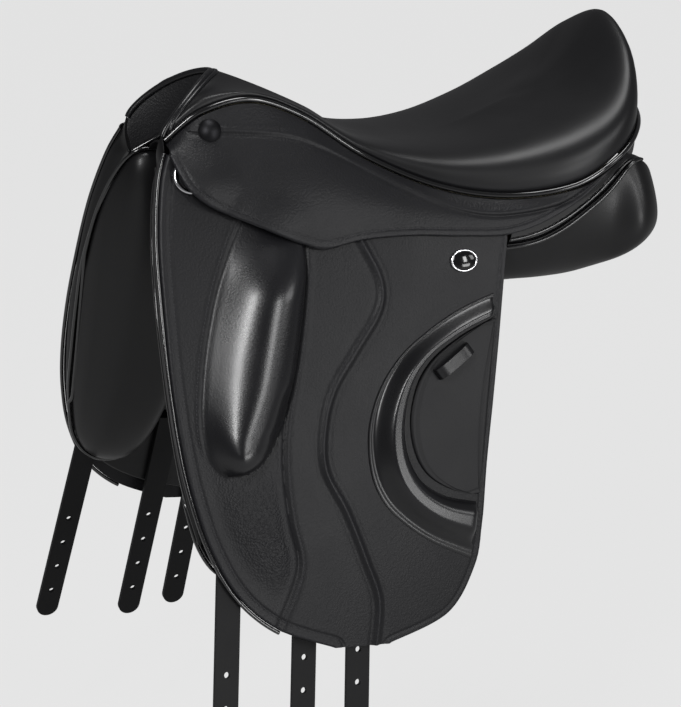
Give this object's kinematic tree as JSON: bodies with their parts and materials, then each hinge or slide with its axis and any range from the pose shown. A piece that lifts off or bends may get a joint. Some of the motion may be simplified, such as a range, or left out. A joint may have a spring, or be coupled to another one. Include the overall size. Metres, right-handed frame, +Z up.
{
  "type": "dressage saddle",
  "caption": "Black leather dressage saddle with a deep seat, long straight flaps with knee and thigh blocks, lifting skirts, flocked panels and swinging girth straps.",
  "frame": {"origin": "on the centre line, at the underside of the gullet lining, half way along the panels", "axes": "+X towards the cantle, +Y towards the off side, +Z up"},
  "size_m": [0.505, 0.4766, 0.6207],
  "materials": {
    "seat_leather": "smooth satin black leather",
    "skirt_leather": "fine-grained black leather",
    "flap_leather": "grained black leather",
    "block_leather": "glossy black leather over a block",
    "insert_leather": "matte black leather",
    "patent_leather": "patent black leather",
    "panel_leather": "soft black panel leather",
    "strap_leather": "black strap leather, raw edge dyed",
    "steel": "bright steel",
    "chrome": "polished chrome",
    "enamel": "black enamel with a chrome rim",
    "wood": "laminated beech",
    "webbing": "woven web",
    "foam": "seat foam"
  },
  "bodies": {
    "saddle": {"tree_frame": "wood", "head_arch": "steel", "spring_steels": "steel", "seat_webbing": "webbing", "girth_webs": "webbing", "seat_foam": "foam", "seat_cover": "seat_leather", "seat_welt": "patent_leather", "pommel_facing": "flap_leather", "cantle_facing": "flap_leather", "gullet_lining": "panel_leather", "skirt_band_near": "skirt_leather", "skirt_band_off": "skirt_leather", "nail_near": "chrome", "nail_off": "chrome", "flap_head_near": "flap_leather", "flap_head_off": "flap_leather", "sweat_flap_near": "panel_leather", "sweat_flap_off": "panel_leather", "panel_near": "panel_leather", "panel_off": "panel_leather", "panel_piping_near": "patent_leather", "panel_piping_off": "patent_leather", "stirrup_bar_near": "steel", "stirrup_bar_off": "steel", "dee_near": "chrome", "dee_off": "chrome", "strap_tops_near": "strap_leather", "strap_tops_off": "strap_leather"},
    "skirt_near": {"skirt_near": "skirt_leather"},
    "skirt_off": {"skirt_off": "skirt_leather"},
    "flap_near": {"flap_near": "flap_leather", "flap_piping_near": "patent_leather", "knee_block_near": "block_leather", "thigh_block_near": "block_leather", "flap_insert_near": "insert_leather", "keeper_near": "block_leather", "stud_near": "enamel"},
    "flap_off": {"flap_off": "flap_leather", "flap_piping_off": "patent_leather", "knee_block_off": "block_leather", "thigh_block_off": "block_leather", "flap_insert_off": "insert_leather", "keeper_off": "block_leather", "stud_off": "enamel"},
    "bar_catch_near": {"bar_catch_near": "steel"},
    "bar_catch_off": {"bar_catch_off": "steel"},
    "girth_strap_1_near": {"girth_strap_1_near": "strap_leather"},
    "girth_strap_1_off": {"girth_strap_1_off": "strap_leather"},
    "girth_strap_2_near": {"girth_strap_2_near": "strap_leather"},
    "girth_strap_2_off": {"girth_strap_2_off": "strap_leather"},
    "girth_strap_3_near": {"girth_strap_3_near": "strap_leather"},
    "girth_strap_3_off": {"girth_strap_3_off": "strap_leather"}
  },
  "joints": [
    {"name": "flap_lift_near", "type": "hinge", "parent": "saddle", "child": "flap_near", "pos_m": [-0.10375, -0.11114, -0.0205], "axis": [-0.9944, 0.1059, 0], "range_deg": [0, 65]},
    {"name": "flap_lift_off", "type": "hinge", "parent": "saddle", "child": "flap_off", "pos_m": [-0.10375, 0.11114, -0.0205], "axis": [0.9944, 0.1059, 0], "range_deg": [0, 65]},
    {"name": "skirt_lift_near", "type": "hinge", "parent": "saddle", "child": "skirt_near", "pos_m": [-0.10134, -0.10434, 0.0262], "axis": [-0.9459, 0.1747, 0.2735], "range_deg": [0, 50]},
    {"name": "skirt_lift_off", "type": "hinge", "parent": "saddle", "child": "skirt_off", "pos_m": [-0.10134, 0.10434, 0.0262], "axis": [0.9459, 0.1747, -0.2735], "range_deg": [0, 50]},
    {"name": "bar_catch_near", "type": "hinge", "parent": "saddle", "child": "bar_catch_near", "pos_m": [-0.11365, -0.09074, 0.02712], "axis": [0.0496, 0.3832, 0.9223], "range_deg": [0, 85]},
    {"name": "bar_catch_off", "type": "hinge", "parent": "saddle", "child": "bar_catch_off", "pos_m": [-0.11365, 0.09074, 0.02712], "axis": [-0.0496, 0.3832, -0.9223], "range_deg": [0, 85]},
    {"name": "strap_swing_1_near", "type": "hinge", "parent": "saddle", "child": "girth_strap_1_near", "pos_m": [-0.23506, -0.17548, -0.25254], "axis": [-0.0294, 0.963, -0.2679], "range_deg": [-10, 10]},
    {"name": "strap_swing_2_near", "type": "hinge", "parent": "saddle", "child": "girth_strap_2_near", "pos_m": [-0.15837, -0.16472, -0.25492], "axis": [-0.0297, 0.9719, -0.2337], "range_deg": [-10, 10]},
    {"name": "strap_swing_3_near", "type": "hinge", "parent": "saddle", "child": "girth_strap_3_near", "pos_m": [-0.11206, -0.17459, -0.25243], "axis": [-0.0299, 0.9766, -0.2128], "range_deg": [-10, 10]},
    {"name": "strap_swing_1_off", "type": "hinge", "parent": "saddle", "child": "girth_strap_1_off", "pos_m": [-0.23506, 0.17548, -0.25254], "axis": [0.0294, 0.963, 0.2679], "range_deg": [-10, 10]},
    {"name": "strap_swing_2_off", "type": "hinge", "parent": "saddle", "child": "girth_strap_2_off", "pos_m": [-0.15837, 0.16472, -0.25492], "axis": [0.0297, 0.9719, 0.2337], "range_deg": [-10, 10]},
    {"name": "strap_swing_3_off", "type": "hinge", "parent": "saddle", "child": "girth_strap_3_off", "pos_m": [-0.11206, 0.17459, -0.25243], "axis": [0.0299, 0.9766, 0.2128], "range_deg": [-10, 10]}
  ]
}
